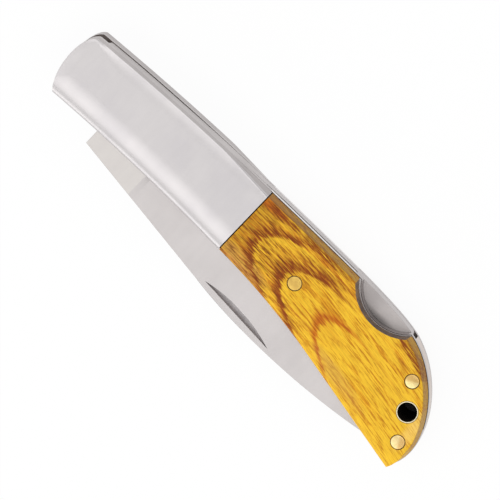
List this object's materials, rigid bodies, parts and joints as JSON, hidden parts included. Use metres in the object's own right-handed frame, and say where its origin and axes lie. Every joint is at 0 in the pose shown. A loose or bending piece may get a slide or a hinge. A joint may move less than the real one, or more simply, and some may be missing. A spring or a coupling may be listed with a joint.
{
  "type": "folding pocket knife",
  "caption": "Closed back-lock folding knife with curved wood scales, metal bolsters, a nail nick, a thumb cut over the lock bar and a lanyard tube.",
  "frame": {"origin": "on the blade's pivot axis, at the plane that the rear bolster and scale rest on", "axes": "+X along the handle from the nose to the butt, +Y from the belly to the spine, +Z from the rear side to the front side with the nail nick"},
  "size_m": [0.1016, 0.0249, 0.0098],
  "materials": {
    "bolster_metal": "satin nickel silver",
    "scale_wood": "oiled and buffed golden wood with brown streaks",
    "liner_steel": "fine ground",
    "blade_steel": "satin ground",
    "lock_bar_steel": "fine ground",
    "spring_steel": "blued grey",
    "spacer_steel": "fine ground",
    "pin_brass": "ground flush",
    "tube_brass": "polished bore",
    "pin_steel": "ground",
    "washer_bronze": "rolled sheet"
  },
  "bodies": {
    "handle": {"front_bolster": "bolster_metal", "rear_bolster": "bolster_metal", "front_scale": "scale_wood", "rear_scale": "scale_wood", "front_liner": "liner_steel", "rear_liner": "liner_steel", "leaf_spring": "spring_steel", "butt_spacer": "spacer_steel", "pivot_pin": "pin_steel", "lock_bar_pin": "pin_brass", "spacer_pin_upper": "pin_brass", "spacer_pin_lower": "pin_brass", "lanyard_tube": "tube_brass", "front_pivot_washer": "washer_bronze", "rear_pivot_washer": "washer_bronze", "front_bolster_rivet_1": "pin_steel", "rear_bolster_rivet_1": "pin_steel", "front_bolster_rivet_2": "pin_steel", "rear_bolster_rivet_2": "pin_steel"},
    "blade_body": {"blade": "blade_steel"},
    "lock_bar_body": {"lock_bar": "lock_bar_steel"}
  },
  "joints": [
    {"name": "blade_pivot", "type": "hinge", "parent": "handle", "child": "blade_body", "pos_m": [0, 0, 0.0049], "axis": [0, 0, -1], "range_deg": [0, 180]},
    {"name": "lock_bar_rocker", "type": "hinge", "parent": "handle", "child": "lock_bar_body", "pos_m": [0.0535, 0.0007, 0.0049], "axis": [0, 0, -1], "range_deg": [-0.8, 0.8], "stiffness_Nm_per_rad": 2.5, "deforming": ["leaf_spring"]}
  ]
}
